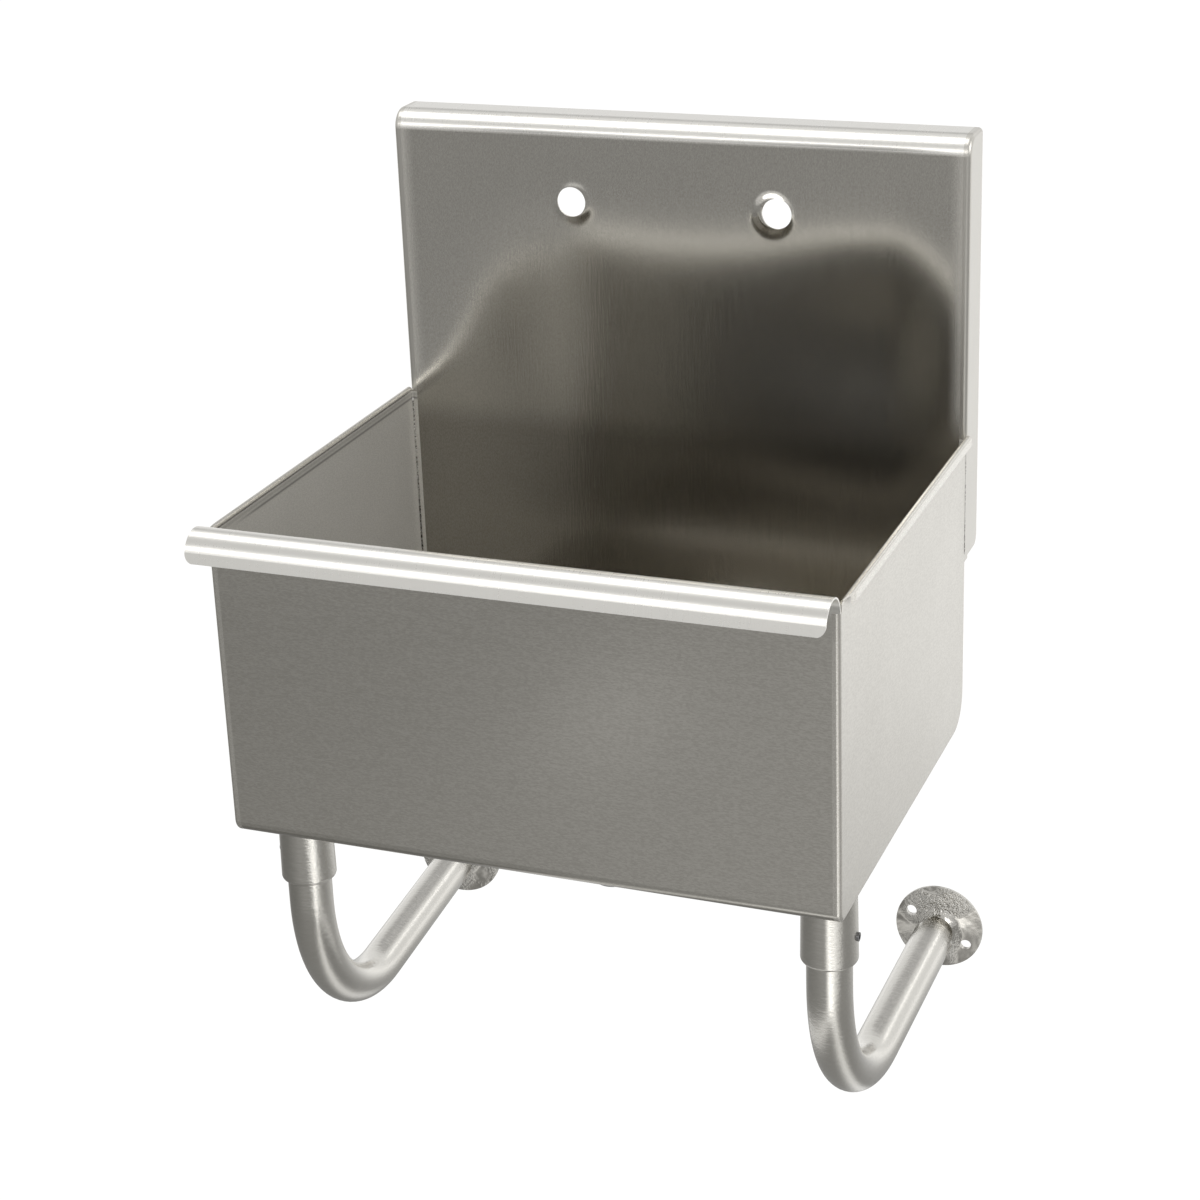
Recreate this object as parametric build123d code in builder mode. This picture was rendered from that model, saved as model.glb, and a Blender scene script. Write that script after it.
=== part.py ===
from build123d import *
import math
import os

# Wall-mounted hand sink of folded stainless sheet on two bent tube legs.
# Millimetres. The wall is the plane y = 0, the user stands at -Y, the rim line is z = 0.
os.makedirs("parts", exist_ok=True)

# Sheet and overall sizes
width = 565.0
sheet = 1.6
corner_bend = 4.0
return_width = 7.0
weld_gap = 0.1

# Splash
splash_depth = 47.6
splash_height = 277.0
splash_bend = 18.0
wall_bend = 6.0
wall_lip = 20.0
cap_drop = 126.0
cap_corner = 12.0
cap_heel = 6.0

# Bowl
bowl_reach = 461.5
bowl_depth = 292.1
cove_bend = 34.0
front_bend = 12.0

# Rolled front rim and folded side hems
roll_radius = 20.6
roll_drop = 12.0
roll_arc_angle = 165.0
roll_lip = 9.5
lip_corner = 9.0
hem_radius = 3.2
hem_top = 1.5
hem_fold = 11.0
hem_taper = 28.0

# Tap holes
tap_spacing = 203.2
tap_height = 197.0
tap_hole = 28.6

# Hanger on the sink and bracket on the wall
plate_sheet = 2.7
bracket_width = 457.2
bracket_low = -20.0
bracket_shelf = 80.0
bracket_bend = 4.5
bracket_inner_bend = 1.0
bracket_edge = 1.2
bracket_hole = 9.6
bracket_hole_span = 406.4
bracket_hole_rise = 50.8
bracket_hole_low = 5.0
hanger_width = 482.6
hanger_web = 100.0
hanger_flange = 26.0
hanger_lip = 18.0
hook_gap = 0.3
hook_room = 3.0

# Legs
leg_spacing = 501.4
leg_setback = 72.6
leg_radius = 20.3
leg_wall = 1.65
leg_bend = 152.4
leg_run_drop = 545.0
leg_top_gap = 14.0
leg_angle_right = 0.0
leg_angle_left = 4.1
fit_gap = 0.08

# Sockets under the bowl
socket_plate_thick = 3.0
socket_plate_long = 92.0
socket_plate_wide = 78.0
socket_plate_corner = 10.0
socket_plate_margin = 4.0
socket_length = 72.0
socket_top_radius = 24.4
socket_low_radius = 25.4
socket_edge = 3.6
socket_roof = 6.0
set_screw_radius = 3.97
set_screw_length = 6.5
set_screw_drop = 46.0
set_screw_hex = 4.0
set_screw_hex_deep = 3.5
tip_gap = 0.1

# Adjustable wall feet
foot_length = 28.0
insert_collar = 2.5
insert_length = 22.0
stem_radius = 12.7
stem_tail = 28.0
stem_head_radius = 16.0
stem_head_thick = 4.0
stem_head_inset = 0.5
flange_radius = 44.45
flange_rim = 2.6
flange_hub_height = 13.0
flange_hub_radius = 16.4
flange_dome_height = 6.4
flange_dome_radius = 25.0
flange_hole = 11.1
flange_hole_circle = 63.5
flange_hole_angle = 28.3

# Drain in the middle of the bowl floor
drain_hole_radius = 44.5
drain_dish_radius = 62.0
drain_dish_slope = 3.0
drain_dish_depth = 3.2
drain_dish_bend = 3.0
body_flange_radius = 57.0
body_flange_thick = 2.0
body_radius = 43.2
body_wall = 2.0
body_depth = 42.0
body_seat_drop = 18.0
body_seat_width = 4.2
body_floor_radius = 27.0
spigot_radius = 22.2
spigot_wall = 2.2
spigot_length = 17.0
gasket_width = 12.5
gasket_thick = 3.0
washer_thick = 1.5
nut_thick = 10.0
nut_width = 8.0
nut_lug_reach = 5.0
nut_lug_width = 9.0
nut_lugs = 6
ring_gap = 0.15
basket_sheet = 1.2
basket_gap = 0.4
basket_depth = 10.0
basket_hub_radius = 6.0
basket_hub_rise = 4.0
basket_hole = 3.6
basket_inner_holes = 8
basket_outer_holes = 14
basket_inner_circle = 13.5
basket_outer_circle = 25.0
stopper_radius = 23.5
stopper_thick = 3.2
post_radius = 3.0
knob_radius = 8.5
knob_thick = 4.0
knob_below_floor = 3.0
tail_radius = 19.05
tail_wall = 1.2
tail_flange_radius = 21.8
tail_flange_thick = 1.6
tail_neck_radius = 19.55
tail_neck_length = 6.0
tail_length = 44.0
tail_washer_thick = 2.4
slip_nut_radius = 27.5
slip_nut_height = 17.0
slip_nut_floor = 3.0
slip_nut_sides = 8

half_width = width / 2
wrap_half = half_width - return_width
back_out = splash_depth - sheet
front_in = bowl_reach - sheet
floor_in = bowl_depth - sheet
roll_reach = front_in + roll_radius
hem_centre = -(hem_top + hem_radius)
leg_x = leg_spacing / 2
leg_reach = bowl_reach - leg_setback
drain_reach = (bowl_reach + splash_depth) / 2
bore_radius = leg_radius + fit_gap


def keep(piece, name):
    """Names a finished piece and writes it."""
    piece.part.label = name
    export_step(piece.part, "parts/" + name + ".step")


def mirrored(piece):
    """The same piece on the other side of the sink."""
    with BuildPart() as twin:
        mirror(piece.part, about=Plane.YZ)
    return twin


# Front rim roll, front, floor, back, splash and wall return, folded from one sheet

def make_bowl_wrap():
    with BuildPart() as wrap:
        with BuildSketch(Plane.YZ):
            with BuildLine():
                FilletPolyline(
                    (0, splash_height - wall_lip),
                    (0, splash_height),
                    (-splash_depth, splash_height),
                    (-splash_depth, -floor_in),
                    (-front_in, -floor_in),
                    (-front_in, -roll_drop),
                    radius=[wall_bend, splash_bend, cove_bend - sheet, front_bend - sheet],
                )
                offset(amount=sheet, side=Side.RIGHT)
            make_face()
        extrude(amount=wrap_half, both=True)
        # the roll runs out over the side panels to the full width
        with BuildSketch(Plane.YZ):
            with BuildLine():
                roll = JernArc(
                    start=(-front_in, -roll_drop),
                    tangent=(0, 1),
                    radius=roll_radius,
                    arc_size=roll_arc_angle,
                )
                Line(roll @ 1, roll @ 1 + roll_lip * (roll % 1))
                offset(amount=sheet, side=Side.LEFT)
            make_face()
        extrude(amount=half_width, both=True)
        # rounded corners at both ends of the lip
        lip_end = wrap.vertices().filter_by(lambda v: v.Y < -roll_reach).sort_by(Axis.Z)[0].Z
        with BuildSketch(Plane.XZ.offset(roll_reach)):
            with Locations((0, lip_end)):
                low = (Align.CENTER, Align.MIN)
                Rectangle(width, lip_corner, align=low)
                RectangleRounded(width, 3 * lip_corner, lip_corner, align=low, mode=Mode.SUBTRACT)
        extrude(amount=2 * roll_radius, mode=Mode.SUBTRACT)
        # tap holes
        with BuildSketch(Plane.XZ.offset(splash_depth)):
            with Locations((0, tap_height)):
                with GridLocations(tap_spacing, tap_spacing, 2, 1):
                    Circle(tap_hole / 2)
        extrude(amount=-sheet, mode=Mode.SUBTRACT)
        # the drain dish pressed into the floor
        with BuildSketch(Plane.XY.offset(-bowl_depth)):
            with Locations((0, -drain_reach)):
                Circle(drain_dish_radius + drain_dish_bend)
        extrude(amount=sheet, mode=Mode.SUBTRACT)
        with BuildSketch(Plane.XZ.offset(drain_reach)):
            with BuildLine():
                FilletPolyline(
                    (drain_dish_radius + drain_dish_bend, -floor_in),
                    (drain_dish_radius, -floor_in),
                    (drain_dish_radius - drain_dish_slope, -floor_in - drain_dish_depth),
                    (drain_hole_radius, -floor_in - drain_dish_depth),
                    radius=[drain_dish_bend, drain_dish_bend - sheet],
                )
                offset(amount=sheet, side=Side.LEFT)
            make_face()
        revolve(axis=Axis((0, -drain_reach, 0), (0, 0, 1)))
    return wrap


# Side panels: flat pans welded into the ends of the bowl, with a hem folded outwards

def make_side_envelope():
    with BuildPart() as envelope:
        with BuildSketch(Plane.YZ.offset(wrap_half)):
            with BuildLine():
                low = FilletPolyline(
                    (-back_out, hem_centre),
                    (-back_out, -bowl_depth),
                    (-bowl_reach, -bowl_depth),
                    (-bowl_reach, hem_centre),
                    radius=[cove_bend, front_bend],
                )
                Line(low @ 1, low @ 0)
            make_face()
        extrude(amount=return_width)
        outer_edges = envelope.faces().sort_by(Axis.X)[-1].edges()
        fillet(outer_edges.filter_by(lambda e: e.center().Z < hem_centre - 1), radius=corner_bend)
    return envelope


def make_side_panel(envelope):
    with BuildPart() as pocket:
        with BuildSketch(Plane.YZ.offset(wrap_half)):
            with BuildLine():
                low = FilletPolyline(
                    (-back_out - sheet, corner_bend),
                    (-back_out - sheet, -bowl_depth + sheet),
                    (-bowl_reach + sheet, -bowl_depth + sheet),
                    (-bowl_reach + sheet, corner_bend),
                    radius=[cove_bend - sheet, front_bend - sheet],
                )
                Line(low @ 1, low @ 0)
            make_face()
        extrude(amount=return_width - sheet)
        pocket_edges = pocket.faces().sort_by(Axis.X)[-1].edges()
        fillet(pocket_edges.filter_by(lambda e: e.center().Z < 0), radius=corner_bend - sheet)
    with BuildPart() as panel:
        add(envelope.part)
        add(pocket.part, mode=Mode.SUBTRACT)
        # the front return stops under the roll
        with BuildSketch(Plane.YZ.offset(wrap_half)):
            with Locations((-bowl_reach, -roll_drop)):
                Rectangle(corner_bend, roll_drop, align=(Align.MIN, Align.MIN))
        extrude(amount=return_width, mode=Mode.SUBTRACT)
        # hem
        with BuildSketch(Plane.XZ.offset(splash_depth)):
            with BuildLine():
                rise = Line((half_width - sheet, hem_centre - sheet), (half_width - sheet, hem_centre))
                over = JernArc(start=rise @ 1, tangent=rise % 1, radius=hem_radius, arc_size=-180)
                Line(over @ 1, ((over @ 1).X, -hem_fold))
                offset(amount=sheet, side=Side.RIGHT)
            make_face()
        extrude(amount=front_in - corner_bend - splash_depth)
        # the hem narrows into the front corner
        with BuildSketch(Plane.XY.offset(-hem_fold)):
            with BuildLine():
                Polyline(
                    (half_width + weld_gap, -front_in),
                    (half_width + 3 * hem_radius, -front_in),
                    (half_width + 3 * hem_radius, -front_in + 2 * hem_taper),
                    close=True,
                )
            make_face()
        extrude(amount=hem_fold, mode=Mode.SUBTRACT)
    return panel


# Splash ends: pans that close the splash down to below the rim, welded to the side panels

def make_splash_end(envelope):
    corners = [
        (-splash_depth, splash_height),
        (0, splash_height),
        (0, -cap_drop),
        (-splash_depth, -cap_drop),
    ]
    bends = [splash_bend, wall_bend, cap_corner, cap_heel]
    with BuildPart() as pocket:
        with BuildSketch(Plane.YZ.offset(wrap_half)):
            with BuildLine():
                FilletPolyline(
                    (-splash_depth + sheet, splash_height - sheet),
                    (-sheet, splash_height - sheet),
                    (-sheet, -cap_drop + sheet),
                    (-splash_depth + sheet, -cap_drop + sheet),
                    radius=[bend - sheet for bend in bends],
                    close=True,
                )
            make_face()
        extrude(amount=return_width - sheet)
        fillet(pocket.faces().sort_by(Axis.X)[-1].edges(), radius=corner_bend - sheet)
    with BuildPart() as end:
        with BuildSketch(Plane.YZ.offset(wrap_half)):
            with BuildLine():
                FilletPolyline(*corners, radius=bends, close=True)
            make_face()
        extrude(amount=return_width)
        fillet(end.faces().sort_by(Axis.X)[-1].edges(), radius=corner_bend)
        add(pocket.part, mode=Mode.SUBTRACT)
        # below the rim the plate runs on to the side panel and follows its rounded edge
        with BuildSketch(Plane.YZ.offset(half_width - sheet)):
            with Locations((-back_out - corner_bend, -cap_drop)):
                Rectangle(3 * corner_bend, cap_drop + hem_centre - sheet, align=(Align.MIN, Align.MIN))
        extrude(amount=sheet)
        add(envelope.part, mode=Mode.SUBTRACT)
    return end


# The hanger welded to the back of the splash hooks over the bracket on the wall

def make_hanger():
    hang = 2 * plate_sheet + hook_room
    with BuildPart() as hanger:
        with BuildSketch(Plane.YZ):
            with BuildLine():
                FilletPolyline(
                    (-back_out, hanger_web + hanger_flange),
                    (-back_out, hanger_web),
                    (-hang, hanger_web),
                    (-hang, hanger_web - hanger_lip),
                    radius=[bracket_bend, bracket_inner_bend],
                )
                offset(amount=plate_sheet, side=Side.LEFT)
            make_face()
        extrude(amount=hanger_width / 2, both=True)
    return hanger


def make_bracket():
    lip = 2 * plate_sheet + hook_room + hook_gap
    with BuildPart() as bracket:
        with BuildSketch(Plane.YZ):
            with BuildLine():
                FilletPolyline(
                    (0, bracket_low),
                    (0, bracket_shelf),
                    (-lip, bracket_shelf),
                    (-lip, hanger_web - weld_gap),
                    radius=[bracket_bend, bracket_inner_bend],
                )
                offset(amount=plate_sheet, side=Side.LEFT)
            make_face()
        extrude(amount=bracket_width / 2, both=True)
        fillet(bracket.faces().sort_by(Axis.Z)[-1].edges().filter_by(Axis.X), radius=bracket_edge)
        with BuildSketch(Plane.XZ):
            with Locations((0, bracket_hole_low + bracket_hole_rise / 2)):
                with GridLocations(bracket_hole_span, bracket_hole_rise, 2, 2):
                    Circle(bracket_hole / 2)
        extrude(amount=plate_sheet, mode=Mode.SUBTRACT)
    return bracket


# Leg sockets on their plates under the bowl

def make_socket_plate():
    centre_x = half_width - socket_plate_margin - socket_plate_long / 2
    with BuildPart() as plate:
        with BuildSketch(Plane.XY.offset(-bowl_depth)):
            with Locations((centre_x, -leg_reach)):
                RectangleRounded(socket_plate_long, socket_plate_wide, socket_plate_corner)
        extrude(amount=-socket_plate_thick)
    return plate


def make_socket():
    top = -bowl_depth - socket_plate_thick
    low = top - socket_length
    with BuildPart() as socket:
        with BuildSketch(Plane.XZ.offset(leg_reach)):
            with BuildLine():
                Polyline(
                    (leg_x, top),
                    (leg_x + socket_top_radius, top),
                    (leg_x + socket_low_radius, low),
                    (leg_x + bore_radius, low),
                    (leg_x + bore_radius, top - socket_roof),
                    (leg_x, top - socket_roof),
                    close=True,
                )
            make_face()
        leg_axis = Axis((leg_x, -leg_reach, 0), (0, 0, 1))
        revolve(axis=leg_axis)
        outer_low = socket.edges().filter_by(GeomType.CIRCLE).group_by(Axis.Z)[0].sort_by(SortBy.RADIUS)[-1]
        fillet(outer_low, radius=socket_edge)
        # threaded hole for the set screw, on the outboard side
        with BuildSketch(Plane.YZ.offset(leg_x)):
            with Locations((-leg_reach, top - set_screw_drop)):
                Circle(set_screw_radius + fit_gap)
        extrude(amount=2 * socket_low_radius, mode=Mode.SUBTRACT)
    return socket


def make_set_screw():
    tip = leg_x + leg_radius + tip_gap
    height = -bowl_depth - socket_plate_thick - set_screw_drop
    with BuildPart() as screw:
        with BuildSketch(Plane.YZ.offset(tip)):
            with Locations((-leg_reach, height)):
                Circle(set_screw_radius)
        extrude(amount=set_screw_length)
        chamfer(screw.faces().sort_by(Axis.X)[0].edges(), length=set_screw_radius / 4)
        with BuildSketch(Plane.YZ.offset(tip + set_screw_length)):
            with Locations((-leg_reach, height)):
                RegularPolygon(set_screw_hex / 2, 6, major_radius=False)
        extrude(amount=-set_screw_hex_deep, mode=Mode.SUBTRACT)
    return screw


# Bent tube legs and their adjustable feet, on a plane that stands on the leg's axis and
# points at the wall: local x runs along the leg, local y is up

def leg_plane(side, turn):
    angle = math.radians(turn)
    return Plane(
        origin=(side * leg_x, -leg_reach, 0),
        x_dir=(side * math.sin(angle), math.cos(angle), 0),
        z_dir=(math.cos(angle), -side * math.sin(angle), 0),
    )


def leg_run_axis(plane):
    return Axis(plane.origin - Vector(0, 0, leg_run_drop), plane.x_dir)


def foot_face(turn):
    """Distance along the run to the flange's wall face: its far edge just reaches the wall."""
    angle = math.radians(turn)
    return (leg_reach - flange_radius * math.sin(angle)) / math.cos(angle)


def make_leg_tube(plane):
    top = -bowl_depth - socket_plate_thick - socket_roof - leg_top_gap
    end = leg_reach - foot_length - insert_collar
    with BuildPart() as tube:
        with BuildLine(plane) as route:
            FilletPolyline((0, top), (0, -leg_run_drop), (end, -leg_run_drop), radius=leg_bend)
        with BuildSketch(Plane(origin=route.line @ 0, z_dir=(0, 0, -1))):
            Circle(leg_radius)
            Circle(leg_radius - leg_wall, mode=Mode.SUBTRACT)
        sweep(path=route.line)
    return tube


def make_tube_insert(plane):
    end = leg_reach - foot_length
    inner = leg_radius - leg_wall - weld_gap / 2
    with BuildPart() as insert:
        with BuildSketch(plane):
            with BuildLine():
                Polyline(
                    (end - insert_length, -leg_run_drop + stem_radius + fit_gap),
                    (end - insert_length, -leg_run_drop + inner),
                    (end - insert_collar, -leg_run_drop + inner),
                    (end - insert_collar, -leg_run_drop + leg_radius),
                    (end - insert_collar / 2, -leg_run_drop + leg_radius),
                    (end, -leg_run_drop + leg_radius - insert_collar / 2),
                    (end, -leg_run_drop + stem_radius + fit_gap),
                    close=True,
                )
            make_face()
        revolve(axis=leg_run_axis(plane))
    return insert


def make_foot_stem(plane, face):
    tail = face - foot_length - stem_tail
    head = face - stem_head_inset - stem_head_thick
    with BuildPart() as stem:
        with BuildSketch(plane):
            with BuildLine():
                Polyline(
                    (tail, -leg_run_drop),
                    (tail, -leg_run_drop + stem_radius),
                    (head, -leg_run_drop + stem_radius),
                    (head, -leg_run_drop + stem_head_radius),
                    (face - stem_head_inset, -leg_run_drop + stem_head_radius),
                    (face - stem_head_inset, -leg_run_drop),
                    close=True,
                )
            make_face()
        revolve(axis=leg_run_axis(plane))
    return stem


def make_wall_flange(plane, face, side):
    recess = stem_head_thick + stem_head_inset + fit_gap
    with BuildPart() as flange:
        with BuildSketch(plane):
            with BuildLine():
                bore = Polyline(
                    (face - flange_hub_height, -leg_run_drop + stem_radius + fit_gap),
                    (face - recess, -leg_run_drop + stem_radius + fit_gap),
                    (face - recess, -leg_run_drop + stem_head_radius + fit_gap),
                    (face, -leg_run_drop + stem_head_radius + fit_gap),
                    (face, -leg_run_drop + flange_radius),
                    (face - flange_rim, -leg_run_drop + flange_radius),
                    (face - flange_dome_height, -leg_run_drop + flange_dome_radius),
                )
                hub = Line(
                    (face - flange_hub_height, -leg_run_drop + flange_hub_radius),
                    (face - flange_hub_height, -leg_run_drop + stem_radius + fit_gap),
                )
                TangentArc(bore @ 1, hub @ 0, tangent=bore % 1)
            make_face()
        revolve(axis=leg_run_axis(plane))
        face_centre = plane.origin + plane.x_dir * face - Vector(0, 0, leg_run_drop)
        angle = math.radians(flange_hole_angle)
        across = flange_hole_circle / 2 * math.cos(angle) * side
        down = flange_hole_circle / 2 * math.sin(angle)
        with BuildSketch(Plane(origin=face_centre, x_dir=plane.z_dir, z_dir=-plane.x_dir)):
            with Locations((across, -down), (-across, down)):
                Circle(flange_hole / 2)
        extrude(amount=flange_hub_height, mode=Mode.SUBTRACT)
    return flange


# Basket drain, all turned about one upright axis

drain_plane = Plane.XZ.offset(drain_reach)
drain_axis = Axis((0, -drain_reach, 0), (0, 0, 1))
dish_floor = -floor_in - drain_dish_depth
dish_under = dish_floor - sheet
body_inner = body_radius - body_wall
body_bottom = dish_floor - body_depth
basket_seat = dish_floor - body_seat_drop
spigot_end = body_bottom - spigot_length


def turned(points):
    """A solid turned about the drain's axis from its half section."""
    with BuildPart() as piece:
        with BuildSketch(drain_plane):
            with BuildLine():
                Polyline(*points, close=True)
            make_face()
        revolve(axis=drain_axis)
    return piece


def make_drain_body():
    seat_radius = body_inner - body_seat_width
    return turned([
        (body_inner, dish_floor + body_flange_thick / 2),
        (body_inner + body_wall / 2, dish_floor + body_flange_thick),
        (body_flange_radius - body_flange_thick, dish_floor + body_flange_thick),
        (body_flange_radius, dish_floor),
        (body_radius, dish_floor),
        (body_radius, body_bottom + 2 * body_wall),
        (body_floor_radius, body_bottom - body_wall),
        (spigot_radius, body_bottom - body_wall),
        (spigot_radius, spigot_end),
        (spigot_radius - spigot_wall, spigot_end),
        (spigot_radius - spigot_wall, body_bottom),
        (body_floor_radius, body_bottom),
        (seat_radius, body_bottom + 2 * body_wall),
        (seat_radius, basket_seat),
        (body_inner, basket_seat),
    ])


def make_ring(inner, outer, top, thick):
    return turned([(inner, top), (outer, top), (outer, top - thick), (inner, top - thick)])


def make_lock_nut():
    top = dish_under - gasket_thick - washer_thick
    with BuildPart() as nut:
        with BuildSketch(Plane.XY.offset(top)):
            with Locations((0, -drain_reach)):
                Circle(body_radius + nut_width)
                with PolarLocations(body_radius + nut_width, nut_lugs):
                    Rectangle(2 * nut_lug_reach, nut_lug_width)
                Circle(body_radius + ring_gap, mode=Mode.SUBTRACT)
        extrude(amount=-nut_thick)
    return nut


def make_basket():
    rim = body_inner - basket_gap
    cup = body_inner - body_seat_width - basket_gap
    floor_top = basket_seat - basket_depth
    shell = turned([
        (post_radius + fit_gap, floor_top + basket_hub_rise),
        (basket_hub_radius, floor_top + basket_hub_rise),
        (basket_hub_radius, floor_top),
        (cup - basket_sheet, floor_top),
        (cup - basket_sheet, basket_seat + basket_sheet),
        (rim, basket_seat + basket_sheet),
        (rim, basket_seat),
        (cup, basket_seat),
        (cup, floor_top - basket_sheet),
        (post_radius + fit_gap, floor_top - basket_sheet),
    ])
    with BuildPart() as basket:
        add(shell.part)
        with BuildSketch(Plane.XY.offset(floor_top)):
            with Locations((0, -drain_reach)):
                with PolarLocations(basket_inner_circle, basket_inner_holes):
                    Circle(basket_hole / 2)
                with PolarLocations(basket_outer_circle, basket_outer_holes):
                    Circle(basket_hole / 2)
        extrude(amount=-basket_sheet, mode=Mode.SUBTRACT)
    return basket


def make_stopper():
    return turned([
        (0, body_bottom + stopper_thick),
        (stopper_radius - stopper_thick / 2, body_bottom + stopper_thick),
        (stopper_radius, body_bottom + stopper_thick / 2),
        (stopper_radius - stopper_thick / 2, body_bottom),
        (0, body_bottom),
    ])


def make_basket_post():
    knob_top = -floor_in - knob_below_floor
    return turned([
        (0, body_bottom + stopper_thick),
        (post_radius, body_bottom + stopper_thick),
        (post_radius, knob_top - knob_thick),
        (knob_radius - knob_thick / 4, knob_top - knob_thick),
        (knob_radius, knob_top - knob_thick / 2),
        (knob_radius - knob_thick / 4, knob_top),
        (0, knob_top),
    ])


def make_tailpiece():
    top = spigot_end - tail_washer_thick
    return turned([
        (tail_radius - tail_wall, top),
        (tail_flange_radius, top),
        (tail_flange_radius, top - tail_flange_thick),
        (tail_neck_radius, top - tail_flange_thick),
        (tail_neck_radius, top - tail_neck_length),
        (tail_radius, top - tail_neck_length - tail_neck_radius + tail_radius),
        (tail_radius, top - tail_length),
        (tail_radius - tail_wall, top - tail_length),
    ])


def make_slip_nut():
    low = spigot_end - tail_washer_thick - tail_flange_thick - slip_nut_floor
    with BuildPart() as nut:
        with BuildSketch(Plane.XY.offset(low)):
            with Locations((0, -drain_reach)):
                RegularPolygon(slip_nut_radius, slip_nut_sides)
                Circle(tail_neck_radius + ring_gap, mode=Mode.SUBTRACT)
        extrude(amount=slip_nut_height)
        with BuildSketch(Plane.XY.offset(low + slip_nut_floor)):
            with Locations((0, -drain_reach)):
                Circle(spigot_radius + ring_gap)
        extrude(amount=slip_nut_height, mode=Mode.SUBTRACT)
    return nut


# Making and writing every piece

keep(make_bowl_wrap(), "bowl_wrap")
side_envelope = make_side_envelope()
pairs = {
    "side_panel": make_side_panel(side_envelope),
    "splash_end": make_splash_end(side_envelope),
    "socket_plate": make_socket_plate(),
    "leg_socket": make_socket(),
    "set_screw": make_set_screw(),
}
for pair_name, right_piece in pairs.items():
    keep(right_piece, pair_name + "_right")
    keep(mirrored(right_piece), pair_name + "_left")

for side_name, side, turn in (("right", 1, leg_angle_right), ("left", -1, leg_angle_left)):
    stand = leg_plane(side, turn)
    face = foot_face(turn)
    keep(make_leg_tube(stand), "leg_tube_" + side_name)
    keep(make_tube_insert(stand), "tube_insert_" + side_name)
    keep(make_foot_stem(stand, face), "foot_stem_" + side_name)
    keep(make_wall_flange(stand, face, side), "wall_flange_" + side_name)

keep(make_hanger(), "hanger_channel")
keep(make_bracket(), "wall_bracket")
keep(make_drain_body(), "drain_body")
ring_inner = body_radius + ring_gap
ring_outer = body_radius + gasket_width
keep(make_ring(ring_inner, ring_outer, dish_under, gasket_thick), "drain_gasket")
keep(make_ring(ring_inner, ring_outer, dish_under - gasket_thick, washer_thick), "friction_washer")
keep(make_lock_nut(), "lock_nut")
keep(make_basket(), "strainer_basket")
keep(make_stopper(), "stopper")
keep(make_basket_post(), "basket_post")
keep(make_ring(tail_radius + ring_gap, tail_flange_radius, spigot_end, tail_washer_thick), "tailpiece_washer")
keep(make_tailpiece(), "tailpiece")
keep(make_slip_nut(), "slip_nut")
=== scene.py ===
"""Looks, welds, lights, floor and camera for the wall-mounted hand sink, on its CAD frame."""
import math

import bmesh
import bpy
from mathutils import Matrix, Vector


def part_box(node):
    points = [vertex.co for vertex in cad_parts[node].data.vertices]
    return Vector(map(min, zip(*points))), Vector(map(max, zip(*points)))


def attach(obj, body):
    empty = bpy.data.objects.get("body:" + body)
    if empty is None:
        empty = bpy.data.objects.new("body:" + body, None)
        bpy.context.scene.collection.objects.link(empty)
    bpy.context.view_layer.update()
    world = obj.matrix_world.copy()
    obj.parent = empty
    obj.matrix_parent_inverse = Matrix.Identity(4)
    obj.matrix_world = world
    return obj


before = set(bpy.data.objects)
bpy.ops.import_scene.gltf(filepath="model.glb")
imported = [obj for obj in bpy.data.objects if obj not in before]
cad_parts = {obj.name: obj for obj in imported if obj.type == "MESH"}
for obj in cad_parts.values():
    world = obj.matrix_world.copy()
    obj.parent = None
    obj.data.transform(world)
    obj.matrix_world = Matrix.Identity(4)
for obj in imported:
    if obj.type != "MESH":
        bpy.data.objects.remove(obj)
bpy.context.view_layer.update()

# The photograph: a square image in pixels, its optical axis above the middle
IMAGE = 1200.0
AXIS_PIXEL = (600.0, 520.0)
FOCAL_PIXELS = 2624.2
SENSOR = 36.0
CLIP_END = 60.0
CAMERA_PLACE = Vector((0.8194, -2.2916, 0.795))
CAMERA_AZIMUTH = math.radians(21.939)
CAMERA_ELEVATION = math.radians(20.778)
CAMERA_ROLL = math.radians(-2.159)

# Places on the sink, in metres: three from the frame, the others as the CAD model has them
SPLASH_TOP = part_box("bowl_wrap")[1].z
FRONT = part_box("side_panel_right")[0].y
END_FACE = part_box("splash_end_right")[0].y
SHEET = 0.0016
SPLASH_FACE = -0.0476
SPLASH_BEND = 0.018
ROLL_RADIUS = 0.0206
ROLL_Y = FRONT + SHEET - ROLL_RADIUS
ROLL_Z = -0.012
WALL_OUT = 0.2825
TAP_SPACING = 0.2032
TAP_HEIGHT = 0.197
FLOOR_HEIGHT = -0.864
MICRON = 0.000001

# Colours of the steel that more than one piece shares
STEEL_BRIGHT = (0.76, 0.745, 0.705)
STEEL_LIGHT = (0.79, 0.77, 0.72)
STEEL_MIDDLE = (0.53, 0.51, 0.465)
STEEL_DULL = (0.52, 0.50, 0.46)
STEEL_SHADE = (0.36, 0.345, 0.31)


class Socket:
    """A node's output with arithmetic: an expression on values adds its Math nodes."""

    def __init__(self, tree, output):
        self.tree = tree
        self.output = output

    def __add__(self, other):
        return self.tree.maths("ADD", self, other)

    def __radd__(self, other):
        return self.tree.maths("ADD", other, self)

    def __sub__(self, other):
        return self.tree.maths("SUBTRACT", self, other)

    def __rsub__(self, other):
        return self.tree.maths("SUBTRACT", other, self)

    def __mul__(self, other):
        return self.tree.maths("MULTIPLY", self, other)

    def __rmul__(self, other):
        return self.tree.maths("MULTIPLY", other, self)

    def __neg__(self):
        return self.tree.maths("MULTIPLY", self, -1.0)


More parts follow.
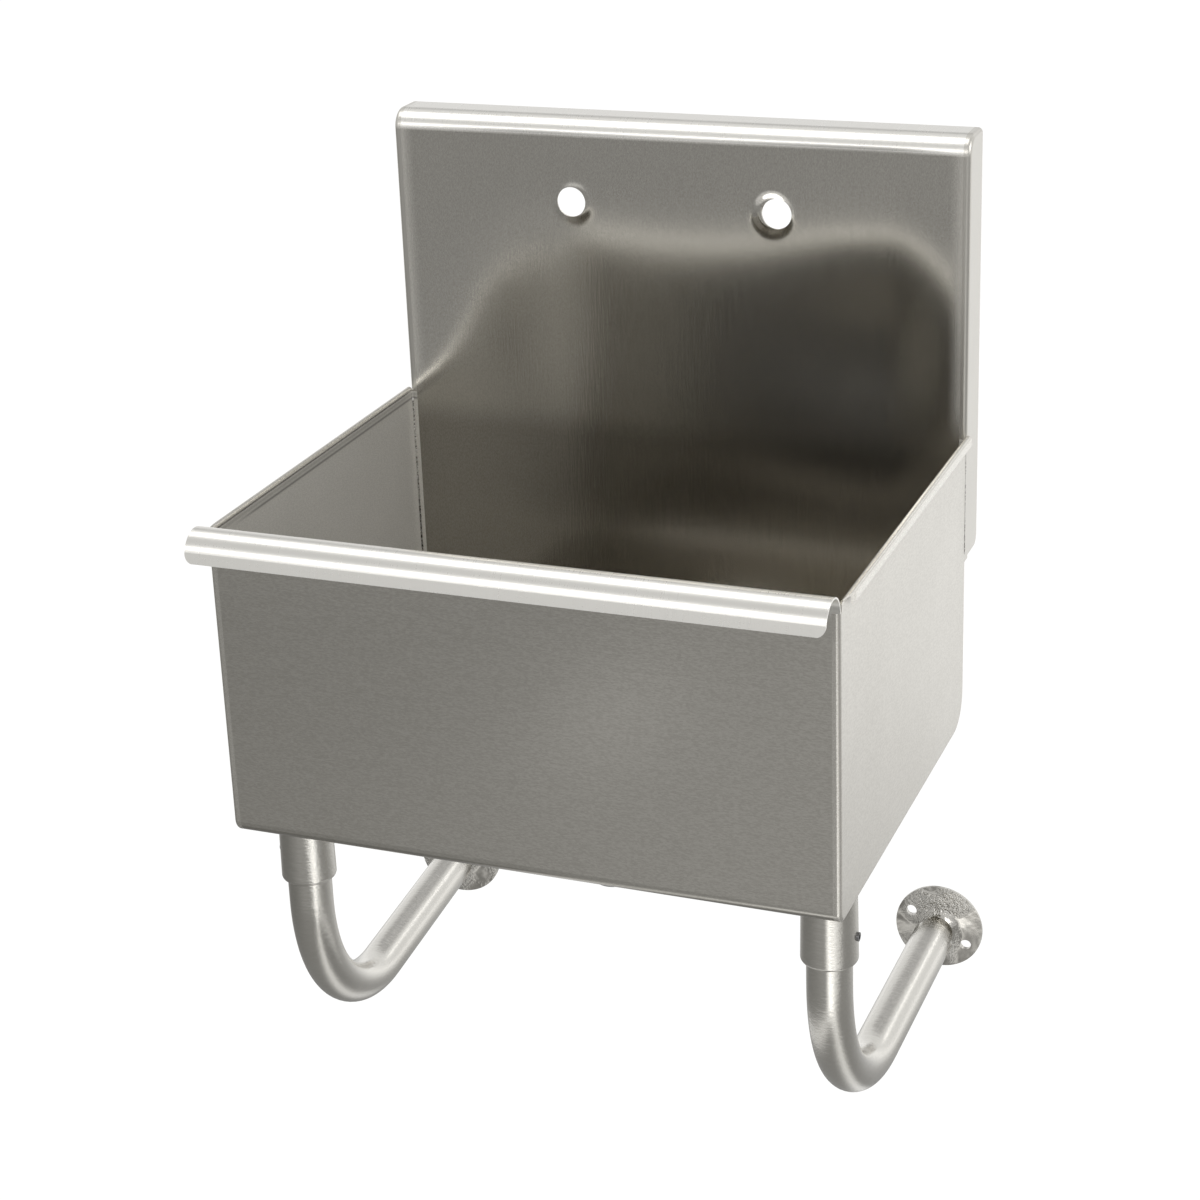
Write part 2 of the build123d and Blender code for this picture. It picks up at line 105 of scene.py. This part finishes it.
class Nodes:
    """Adds nodes to a material's or the world's tree."""

    def __init__(self, owner):
        owner.use_nodes = True
        self.nodes = owner.node_tree.nodes
        self.links = owner.node_tree.links
        self.nodes.clear()

    def add(self, kind, settings=None, sockets=None, output=0):
        """Any node: its type, then its settings, then the values or links of its sockets."""
        node = self.nodes.new(kind)
        for name, value in (settings or {}).items():
            setattr(node, name, value)
        for name, value in (sockets or {}).items():
            socket = node.inputs[name]
            if isinstance(value, Socket):
                self.links.new(value.output, socket)
            elif socket.type == "RGBA":
                socket.default_value = (*value, 1.0)
            else:
                socket.default_value = value
        return Socket(self, node.outputs[output]) if node.outputs else None

    def maths(self, operation, *values):
        return self.add("ShaderNodeMath", {"operation": operation}, dict(enumerate(values)))

    def point(self):
        """The point in the frame's own coordinates."""
        return self.add("ShaderNodeTexCoord", output="Object")

    def split(self, vector):
        """The three values of a vector."""
        first = self.add("ShaderNodeSeparateXYZ", sockets={0: vector})
        return [Socket(self, value) for value in first.output.node.outputs]

    def step(self, value, low, high):
        """0 at low, 1 at high, smooth between. Low may be the larger of the two."""
        settings = {"interpolation_type": "SMOOTHSTEP"}
        sockets = {"Value": value, "From Min": low, "From Max": high}
        return self.add("ShaderNodeMapRange", settings, sockets)

    def band(self, value, start, full, fade, end):
        """1 from full to fade, 0 before start and after end."""
        return self.step(value, start, full) * self.step(value, end, fade)

    def hill(self, value, middle, width):
        """1 at the middle, falling away as a bell curve."""
        off = self.maths("DIVIDE", value - middle, width)
        return self.maths("EXPONENT", -(off * off))

    def largest(self, first, *others):
        for other in others:
            first = self.maths("MAXIMUM", first, other)
        return first

    def between(self, first, second, share):
        """A value that is the first at a share of 0 and the second at 1."""
        return first + (second - first) * share

    def noise(self, point, scale, detail=2.0, roughness=0.5):
        sockets = {"Vector": point, "Scale": scale, "Detail": detail, "Roughness": roughness}
        return self.add("ShaderNodeTexNoise", sockets=sockets)

    def grain(self, point, scale):
        """Brushed lines from 0 to 1: noise drawn out along the axes with a small scale."""
        stretched = self.add(
            "ShaderNodeVectorMath", {"operation": "MULTIPLY"}, {0: point, 1: scale})
        return self.noise(stretched, 1.0, 3.0, 0.65)

    def mix(self, factor, first, second):
        """A colour that is the first at a factor of 0 and the second at 1."""
        sockets = {0: factor, 6: first, 7: second}
        return self.add("ShaderNodeMix", {"data_type": "RGBA"}, sockets, output=2)

    def bump(self, height):
        """A normal from a height in metres."""
        sockets = {"Strength": 1.0, "Distance": 1.0, "Height": height}
        return self.add("ShaderNodeBump", sockets=sockets)

    def surface(self, colour, rough, metallic, **more):
        """The Principled shader, wired to the material's output."""
        sockets = {"Base Color": colour, "Roughness": rough, "Metallic": metallic, **more}
        shader = self.add("ShaderNodeBsdfPrincipled", sockets=sockets)
        self.add("ShaderNodeOutputMaterial", sockets={"Surface": shader})


def material(name):
    made = bpy.data.materials.new(name)
    return made, Nodes(made)


# The splash's shallow hollow, in metres: its depth in the middle, where it lies, what it
# gains on each side (middle, width, more), and from where to where it rises at each edge
HOLLOW_DEPTH = 0.006
HOLLOW_Z, HOLLOW_HEIGHT = 0.07, 0.11
HOLLOW_SIDES = [(0.2, 0.10, 0.005), (-0.16, 0.08, 0.003)]
HOLLOW_EDGES = [(-0.30, -0.12), (0.295, 0.20)]

# The raised rims of the tap holes, in metres: side, height, and how far each lies to the right
TAP_RIMS = [(-1, 0.0010, 0.003), (1, 0.0024, -0.004)]
TAP_RIM_RADIUS, TAP_RIM_WIDTH = 0.0125, 0.006


def splash_shape(tree, x, z):
    """The splash's height off a true plane: the hollow, and a raised rim at each tap hole."""
    depth = HOLLOW_DEPTH
    for middle, width, more in HOLLOW_SIDES:
        depth = depth + more * tree.hill(x, middle, width)
    for outer, inner in HOLLOW_EDGES:
        depth = depth * tree.step(x, outer, inner)
    shape = -(depth * tree.hill(z, HOLLOW_Z, HOLLOW_HEIGHT))
    for side, height, lean in TAP_RIMS:
        across = x - (side * TAP_SPACING / 2 + lean)
        above = z - TAP_HEIGHT
        radius = tree.maths("SQRT", across * across + above * above)
        shape = shape + height * tree.hill(radius, TAP_RIM_RADIUS, TAP_RIM_WIDTH)
    return shape


# Masks, in metres: a pair runs from where the mask is 0 to where it is 1, and four values
# are a band's start, full, fade and end
SPECK_LEVELS = (0.36, 0.64)
ROLL_MASK_Y = (FRONT + 0.004, FRONT)
ROLL_MASK_Z = (-0.02, ROLL_Z)
LIP_MASK_Y = (ROLL_Y - 0.002, ROLL_Y - 0.006)
TOP_BEND_MASK_Z = (SPLASH_TOP - SPLASH_BEND, SPLASH_TOP - SPLASH_BEND + 0.003)
# Where the bowl's inside gets painted shade, from about 4 cm below the rim down
PAINTED_SHADE_MASK_Y = (FRONT + 0.0004, FRONT + 0.0012)
PAINTED_SHADE_MASK_Z = (-0.004, -0.04)
SPLASH_BAND_Y = (SPLASH_FACE - 0.003, SPLASH_FACE - 0.001, SPLASH_FACE, SPLASH_FACE + 0.001)
SPLASH_HIGH_Z = (-0.1, 0.1)
SPLASH_EDGE_X = (0.262, 0.28)
SPLASH_EDGE_Z = (-0.02, 0.03)


def bowl_steel():
    """The folded sheet: brushed, polished on the roll and the top bend, with painted shade
    inside the bowl.
    """
    made, tree = material("brushed_bowl")
    point = tree.point()
    x, y, z = tree.split(point)

    roll = tree.step(y, *ROLL_MASK_Y) * tree.step(z, *ROLL_MASK_Z)
    lip = tree.step(y, *LIP_MASK_Y)
    polished = tree.largest(roll, lip, tree.step(z, *TOP_BEND_MASK_Z))
    brushed = 1.0 - polished
    # Painted shade: the bowl's inside gets a darker steel colour
    inside = tree.step(y, *PAINTED_SHADE_MASK_Y) * tree.step(z, *PAINTED_SHADE_MASK_Z)
    splash = tree.band(y, *SPLASH_BAND_Y)
    out = tree.maths("ABSOLUTE", x)
    edge = splash * tree.step(out, *SPLASH_EDGE_X) * tree.step(z, *SPLASH_EDGE_Z)

    # The brushing runs along X, but upright on the splash
    along = tree.grain(point, (12.0, 420.0, 420.0))
    upright = tree.grain(point, (480.0, 480.0, 30.0))
    lines = tree.between(along, upright, splash)
    speck_along = tree.grain(point, (300.0, 1000.0, 1000.0))
    speck_upright = tree.grain(point, (900.0, 900.0, 400.0))
    speck = tree.step(tree.between(speck_along, speck_upright, splash), *SPECK_LEVELS)
    bands = tree.grain(point, (2.5, 260.0, 260.0)) * (1.0 - splash)
    cross_lines = polished * tree.grain(point, (600.0, 12.0, 12.0))
    cloud = tree.noise(point, 7.0, 4.0)

    steel = tree.mix(
        0.1 + 0.15 * lines + 0.1 * cloud + 0.4 * speck + 0.15 * bands,
        STEEL_MIDDLE, STEEL_LIGHT)
    # The darker steel of the painted shade inside the bowl
    painted_shade_steel = tree.mix(0.1 + 0.3 * lines + 0.5 * speck, STEEL_SHADE, STEEL_DULL)
    colour = tree.mix(polished, tree.mix(inside, steel, painted_shade_steel), STEEL_BRIGHT)
    metal = 1.0 - 0.03 * splash * tree.step(z, *SPLASH_HIGH_Z) - 0.5 * edge
    rough = 0.13 + 0.1 * edge + 0.06 * lines + 0.08 * polished + 0.1 * cross_lines
    height = splash * splash_shape(tree, x, z) + 40 * MICRON * lines * brushed
    height = height + 90 * MICRON * cross_lines + 40 * MICRON * bands * brushed
    tree.surface(colour, rough, metal, Normal=tree.bump(height))
    return made


# The side panels' masks, in metres, as above: their inner face, their hem, the bare edge at
# the front, and the painted shadow under the hem outside and a dark line under it inside
# (middle, width)
PANEL_INNER_X = (WALL_OUT - 0.0010, WALL_OUT - 0.0014)
PANEL_OUTER_X = (WALL_OUT + 0.0010, WALL_OUT + 0.0004)
HEM_X = (WALL_OUT + 0.0008, WALL_OUT + 0.0014)
HEM_TOP_Z = (-0.0062, -0.0052)
HEM_Z = (-0.02, -0.015)
PANEL_FRONT_Y = (FRONT + 0.002, FRONT + 0.0004)
HEM_SHADOW_Y = (FRONT + 0.03, FRONT + 0.1)
HEM_SHADOW_Z = (-0.0125, 0.0012)
INNER_DARK_LINE_Z = (-0.0085, 0.0016)
HEM_SHADOW_AND_LINE_DARK = (0.12, 0.115, 0.105)


def panel_steel():
    """The side panels: brushed along Y, with a milky polish."""
    made, tree = material("brushed_panel")
    point = tree.point()
    x, y, z = tree.split(point)
    out = tree.maths("ABSOLUTE", x)
    inner = tree.step(out, *PANEL_INNER_X)
    hem = tree.maths("MINIMUM", tree.step(out, *HEM_X) + tree.step(z, *HEM_TOP_Z), 1.0)
    mirror = tree.largest(hem * tree.step(z, *HEM_Z), tree.step(y, *PANEL_FRONT_Y))
    # Painted shadow under the hem on the outer face, and a dark line under the top bead inside
    painted_hem_shadow = tree.hill(z, *HEM_SHADOW_Z) * tree.step(y, *HEM_SHADOW_Y)
    inner_dark_line = inner * tree.hill(z, *INNER_DARK_LINE_Z)
    hem_shadow_and_line = painted_hem_shadow * tree.step(out, *PANEL_OUTER_X) + 0.4 * inner_dark_line

    lines = tree.grain(point, (800.0, 5.0, 800.0))
    speck = tree.step(tree.grain(point, (1000.0, 300.0, 1000.0)), *SPECK_LEVELS)
    cloud = tree.noise(point, 9.0, 4.0)
    wave = tree.noise(point, 8.0, 1.0)
    steel = tree.mix(0.2 * lines + 0.4 * cloud + 0.4 * speck, STEEL_MIDDLE, STEEL_LIGHT)
    # The painted shadow under the hem and the inner dark line, painted into the colour
    colour = tree.mix(0.7 * hem_shadow_and_line, steel, HEM_SHADOW_AND_LINE_DARK)
    rough = 0.3 + 0.06 * lines - 0.1 * mirror
    metal = 0.62 + 0.36 * mirror - 0.2 * inner
    height = 50 * MICRON * lines + 300 * MICRON * wave
    tree.surface(colour, rough, metal, Normal=tree.bump(height))
    return made


def end_steel():
    """The splash ends: brushed upright where their welds were ground flush."""
    made, tree = material("ground_end")
    point = tree.point()
    lines = tree.grain(point, (900.0, 900.0, 8.0))
    cloud = tree.noise(point, 12.0, 3.0)
    colour = tree.mix(0.5 * lines + 0.5 * cloud, (0.52, 0.505, 0.465), (0.64, 0.62, 0.575))
    tree.surface(colour, 0.26 + 0.08 * lines, 0.8, Normal=tree.bump(60 * MICRON * lines))
    return made


def leg_steel():
    """The tubes and sockets: ground round the tube, so that bright bands run along it."""
    made, tree = material("ground_leg")
    point = tree.point()
    rings = tree.grain(point, (50.0, 330.0, 420.0))
    fine = tree.grain(point, (90.0, 800.0, 900.0))
    cloud = tree.noise(point, 25.0, 4.0)
    shade = 0.4 * rings + 0.4 * fine + 0.2 * cloud
    colour = tree.mix(shade, (0.56, 0.54, 0.50), (0.80, 0.785, 0.74))
    height = 220 * MICRON * rings + 50 * MICRON * fine
    tree.surface(colour, 0.13 + 0.08 * fine, 0.96, Normal=tree.bump(height))
    return made


def foot_steel():
    """The feet: polished, with rippled and pitted patches."""
    made, tree = material("polished_foot")
    point = tree.point()
    patch = tree.step(tree.noise(point, 26.0, 1.0), 0.45, 0.60)
    pits = tree.noise(point, 330.0, 2.0, 0.6)
    cloud = tree.noise(point, 40.0, 2.0)
    colour = tree.mix(0.5 * cloud + 0.5 * patch, STEEL_DULL, STEEL_BRIGHT)
    height = 2200 * MICRON * patch * pits + 1800 * MICRON * cloud + 60 * MICRON * pits
    tree.surface(colour, 0.1 + 0.1 * pits, 1.0, Normal=tree.bump(height))
    return made


def weld_steel():
    """The welds: bright ripples, darker in their hollows and towards their lower ends."""
    made, tree = material("weld_bead")
    point = tree.point()
    height = tree.split(point)[2]
    ripple = tree.noise(point, 500.0, 2.0, 0.6)
    bright = 0.45 * tree.step(ripple, 0.3, 0.7) + 0.55 * tree.step(height, -0.15, -0.06)
    colour = tree.mix(bright, (0.10, 0.09, 0.08), (0.85, 0.84, 0.81))
    tree.surface(colour, 0.18 + 0.2 * ripple, 1.0, Normal=tree.bump(600 * MICRON * ripple))
    return made


def plain_metal(name, dark, light, rough):
    """A hidden or small metal piece: cloudy, with faint scratches."""
    made, tree = material(name)
    point = tree.point()
    cloud = tree.noise(point, 45.0, 3.0)
    scratch = tree.grain(point, (900.0, 60.0, 60.0))
    colour = tree.mix(cloud, dark, light)
    normal = tree.bump(30 * MICRON * scratch)
    tree.surface(colour, rough + 0.08 * scratch, 1.0, Normal=normal)
    return made


def soft_matt(name, dark, light, rough):
    """Rubber or card: mottled, with a fine matt grain."""
    made, tree = material(name)
    point = tree.point()
    cloud = tree.noise(point, 150.0, 3.0)
    speck = tree.noise(point, 1500.0, 2.0)
    colour = tree.mix(cloud, dark, light)
    tree.surface(colour, rough + 0.1 * speck, 0.0, Normal=tree.bump(40 * MICRON * speck))
    return made


def dress():
    """Gives every CAD node its finish, by the start of its name."""
    bowl, panel, end = bowl_steel(), panel_steel(), end_steel()
    leg, foot = leg_steel(), foot_steel()
    mill = plain_metal("mill_plate", (0.44, 0.44, 0.43), (0.56, 0.56, 0.55), 0.40)
    dark = plain_metal("dark_screw", (0.16, 0.16, 0.16), (0.26, 0.26, 0.26), 0.32)
    plated = plain_metal("bright_plate", (0.60, 0.60, 0.60), (0.74, 0.74, 0.74), 0.12)
    rubber = soft_matt("black_rubber", (0.022, 0.022, 0.022), (0.045, 0.045, 0.045), 0.6)
    card = soft_matt("fibre_card", (0.42, 0.34, 0.24), (0.58, 0.48, 0.34), 0.8)
    # The first start that fits counts, so tailpiece_washer comes before tailpiece
    finishes = {
        "bowl_wrap": bowl, "side_panel": panel, "splash_end": end,
        "leg_tube": leg, "leg_socket": leg, "tube_insert": leg,
        "foot_stem": foot, "wall_flange": foot,
        "hanger": mill, "wall_bracket": mill, "socket_plate": mill, "set_screw": dark,
        "lock_nut": plated, "tailpiece_washer": rubber, "tailpiece": plated,
        "slip_nut": plated, "drain_gasket": rubber, "stopper": rubber,
        "friction_washer": card, "drain_body": plated, "strainer_basket": plated,
        "basket_post": plated,
    }
    for name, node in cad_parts.items():
        finish = next(finishes[start] for start in finishes if name.startswith(start))
        for slot in node.material_slots:
            slot.material = finish


# The weld beads, in metres: kind, distance from the middle, Y, top, bottom and radius
WELDS = [
    ("inside", 0.2805, SPLASH_FACE - 0.0004, -0.012, -0.235, 0.0011),
    ("outside", 0.2824, END_FACE - 0.0002, -0.016, -0.118, 0.0006),
]
BEAD_STEP = 0.0012
BEAD_SIDES = 10
# A bead's ends start at this share of its radius and gain so much with each point
BEAD_END, BEAD_GAIN = 0.35, 0.25
# The waves along a bead: share of the radius, and angle from one point to the next
BEAD_WAVES = [(0.16, 2.1), (0.08, 0.73)]


def straight(start, end):
    """Points along a straight weld."""
    count = max(3, int((end - start).length / BEAD_STEP))
    return [start.lerp(end, k / count) for k in range(count + 1)]


def bead(name, path, radius):
    """A weld bead: a thin rope of overlapping ripples along a path."""
    mesh = bmesh.new()
    rings = []
    last = len(path) - 1
    for k, point in enumerate(path):
        run = (path[min(k + 1, last)] - path[max(k - 1, 0)]).normalized()
        aside = run.orthogonal().normalized()
        other = run.cross(aside)
        taper = min(1.0, BEAD_END + BEAD_GAIN * k, BEAD_END + BEAD_GAIN * (last - k))
        wave = sum((share * math.sin(turn * k) for share, turn in BEAD_WAVES), 1.0)
        here = radius * taper * wave
        angles = [2 * math.pi * j / BEAD_SIDES for j in range(BEAD_SIDES)]
        rings.append([
            mesh.verts.new(point + here * (math.cos(angle) * aside + math.sin(angle) * other))
            for angle in angles])
    for first, second in zip(rings, rings[1:]):
        for j in range(BEAD_SIDES):
            k = (j + 1) % BEAD_SIDES
            mesh.faces.new((first[j], first[k], second[k], second[j]))
    mesh.faces.new(reversed(rings[0]))
    mesh.faces.new(rings[-1])
    bmesh.ops.recalc_face_normals(mesh, faces=mesh.faces)
    data = bpy.data.meshes.new(name)
    mesh.to_mesh(data)
    mesh.free()
    for face in data.polygons:
        face.use_smooth = True
    made = bpy.data.objects.new(name, data)
    bpy.context.scene.collection.objects.link(made)
    return made


def welds():
    """The welds left standing: two upright ones inside the bowl's back corners, two outside."""
    finish = weld_steel()
    for side, name in ((-1, "left"), (1, "right")):
        for kind, out, y, top, bottom, radius in WELDS:
            path = straight(Vector((side * out, y, top)), Vector((side * out, y, bottom)))
            piece = bead(f"{kind}_weld_{name}", path, radius)
            piece.data.materials.append(finish)
            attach(piece, "sink")


# The soft boxes: name, place, aim, width and height in metres, and brightness
SOFT_BOXES = [
    ("overhead_box", (-0.35, -0.2, 1.16), (-0.35, -0.2, 0.0), (1.3, 0.6), 1.8),
    ("front_box", (-0.35, -2.6, 1.05), (0.0, -0.4, 0.1), (2.8, 0.6), 2.3),
    ("right_box", (2.3, -0.7, 1.3), (0.0, -0.3, 0.0), (1.8, 1.6), 2.2),
]

# The room that lights the sink, by direction: X to the right, Y away behind it, Z up. It is
# lighter on the far side, with a darker part and a lamp low at the right
ROOM_SHARE = 0.8
ROOM_LEVEL = 0.88
FAR_LEVEL, FAR_Y = 0.3, (0.1, 0.7)
SHADE_LEVEL, SHADE_X, SHADE_Y, SHADE_Z = 0.66, (0.32, 0.05), (0.3, 0.7), (0.54, 0.13)
LAMP_LEVEL, LAMP_X, LAMP_Y, LAMP_Z = 1.6, (0.37, 0.045), (0.5, 0.8), (0.36, 0.12)


def soft_box(name, place, aim, size, level):
    """An area light whose face has the given brightness."""
    data = bpy.data.lights.new(name, "AREA")
    data.shape = "RECTANGLE"
    data.size, data.size_y = size
    data.energy = level * math.pi * size[0] * size[1]
    lamp = bpy.data.objects.new(name, data)
    bpy.context.scene.collection.objects.link(lamp)
    lamp.location = place
    lamp.rotation_euler = (Vector(aim) - Vector(place)).to_track_quat("-Z", "Y").to_euler()


def studio():
    """Soft boxes overhead, behind the camera and at the right, in a pale, nearly even room."""
    for box in SOFT_BOXES:
        soft_box(*box)
    world = bpy.data.worlds.new("studio")
    bpy.context.scene.world = world
    tree = Nodes(world)
    to_camera = tree.add("ShaderNodeLightPath", output="Is Camera Ray")
    x, y, z = tree.split(tree.add("ShaderNodeTexCoord", output="Generated"))
    shade = tree.step(y, *SHADE_Y) * tree.hill(z, *SHADE_Z) * tree.step(x, *SHADE_X)
    lamp = tree.hill(x, *LAMP_X) * tree.hill(z, *LAMP_Z) * tree.step(y, *LAMP_Y)
    change = FAR_LEVEL * tree.step(y, *FAR_Y) - SHADE_LEVEL * shade + LAMP_LEVEL * lamp
    level = to_camera + (1.0 - to_camera) * ROOM_SHARE * (ROOM_LEVEL + change)
    back = tree.add(
        "ShaderNodeBackground", sockets={"Color": (1.0, 1.0, 1.0), "Strength": level})
    tree.add("ShaderNodeOutputWorld", sockets={"Surface": back})


# The floor's glow: white to the camera, and in the steel's reflections grey, with lighter
# and darker parts. Places in metres, as masks are given above, or a hill's middle and width
FLOOR_REACH = 14.0
FLOOR_WHITE = 0.93
FLOOR_GREY = 0.147
FLOOR_PAINT = (0.12, 0.118, 0.11)
RIGHT_OF_X = (-1.3, 0.1)
BEHIND_Y = (-0.3, 1.6)
BEFORE_Y = (-2.4, -3.6)
STRIP_X, STRIP_Y = (-0.85, -1.1), (-2.65, 0.22)
BESIDE_X, BESIDE_Y = (0.2, 0.45, 1.1, 1.7), (-3.4, -2.6, -1.1, -0.6)
NARROW_X, NARROW_Y = (0.52, 0.06), (-0.9, -1.3)
DIM_Y = (-1.5, -1.0, 0.3, 0.6)
PATCH_X, PATCH_Y = (-0.5, 0.09), (-2.15, -2.08, -1.85, -1.65)
# What the bends of the legs reflect as a bright band: a curved strip on each side, its middle
# at x = a + b y + c y y, its width growing towards the front
BEND_BAND_Y = (-1.35, -1.0, -0.05, 0.15)
BEND_WIDTH, BEND_SPREAD = 0.05, 0.13
RIGHT_BEND_A, RIGHT_BEND_B, RIGHT_BEND_C = 0.224, -0.6175, -0.275
LEFT_BEND_A, LEFT_BEND_B, LEFT_BEND_C = -0.2, 0.176, 0.851


def floor():
    """Plain pale paper: white to the camera and behind the sink, greyer in front of it."""
    mesh = bpy.data.meshes.new("floor")
    corners = [
        (u * FLOOR_REACH, v * FLOOR_REACH, FLOOR_HEIGHT)
        for u, v in ((-1, -1), (1, -1), (1, 1), (-1, 1))]
    mesh.from_pydata(corners, [], [(0, 1, 2, 3)])
    sheet = bpy.data.objects.new("floor", mesh)
    bpy.context.scene.collection.objects.link(sheet)
    made, tree = material("pale_floor")
    x, y = tree.split(tree.point())[:2]
    spread = BEND_WIDTH - BEND_SPREAD * y
    right_bend = tree.hill(
        x - RIGHT_BEND_B * y - RIGHT_BEND_C * y * y, RIGHT_BEND_A, spread)
    left_bend = tree.hill(
        x - LEFT_BEND_B * y - LEFT_BEND_C * y * y, LEFT_BEND_A, spread)
    # Each part's level in the reflections, and where it lies
    parts = [
        (0.1, tree.step(x, *RIGHT_OF_X)),
        (0.8, tree.step(y, *BEHIND_Y)),
        (0.05, tree.step(y, *BEFORE_Y)),
        (0.12, tree.hill(y, *STRIP_Y) * tree.step(x, *STRIP_X)),
        (0.75, tree.band(x, *BESIDE_X) * tree.band(y, *BESIDE_Y)),
        (0.9, tree.hill(x, *NARROW_X) * tree.step(y, *NARROW_Y)),
        (0.6, tree.band(y, *BEND_BAND_Y) * (right_bend + left_bend)),
        (-0.07, tree.band(y, *DIM_Y)),
        (0.12, tree.hill(x, *PATCH_X) * tree.band(y, *PATCH_Y)),
    ]
    reflected = FLOOR_GREY
    for level, mask in parts:
        reflected = reflected + level * mask
    to_camera = tree.add("ShaderNodeLightPath", output="Is Camera Ray")
    to_gloss = tree.add("ShaderNodeLightPath", output="Is Glossy Ray")
    glow = to_camera * FLOOR_WHITE + to_gloss * reflected
    tree.surface(FLOOR_PAINT, 0.9, 0.0, **{
        "Specular IOR Level": 0.1, "Emission Color": glow, "Emission Strength": 1.0})
    mesh.materials.append(made)


def camera():
    """The photograph's camera."""
    data = bpy.data.cameras.new("camera")
    data.sensor_fit = "HORIZONTAL"
    data.sensor_width = SENSOR
    data.lens = FOCAL_PIXELS / IMAGE * SENSOR
    data.shift_x = (IMAGE / 2 - AXIS_PIXEL[0]) / IMAGE
    data.shift_y = (AXIS_PIXEL[1] - IMAGE / 2) / IMAGE
    data.clip_end = CLIP_END
    a, e, r = CAMERA_AZIMUTH, CAMERA_ELEVATION, CAMERA_ROLL
    back = Vector((math.sin(a) * math.cos(e), -math.cos(a) * math.cos(e), math.sin(e)))
    level_right = Vector((math.cos(a), math.sin(a), 0.0))
    level_up = back.cross(level_right)
    right = math.cos(r) * level_right + math.sin(r) * level_up
    up = math.cos(r) * level_up - math.sin(r) * level_right
    turn = Matrix((right, up, back)).transposed()
    made = bpy.data.objects.new("camera", data)
    bpy.context.scene.collection.objects.link(made)
    made.matrix_world = Matrix.Translation(CAMERA_PLACE) @ turn.to_4x4()
    bpy.context.scene.camera = made


dress()
welds()
studio()
floor()
camera()
bpy.context.scene.view_settings.view_transform = "Standard"
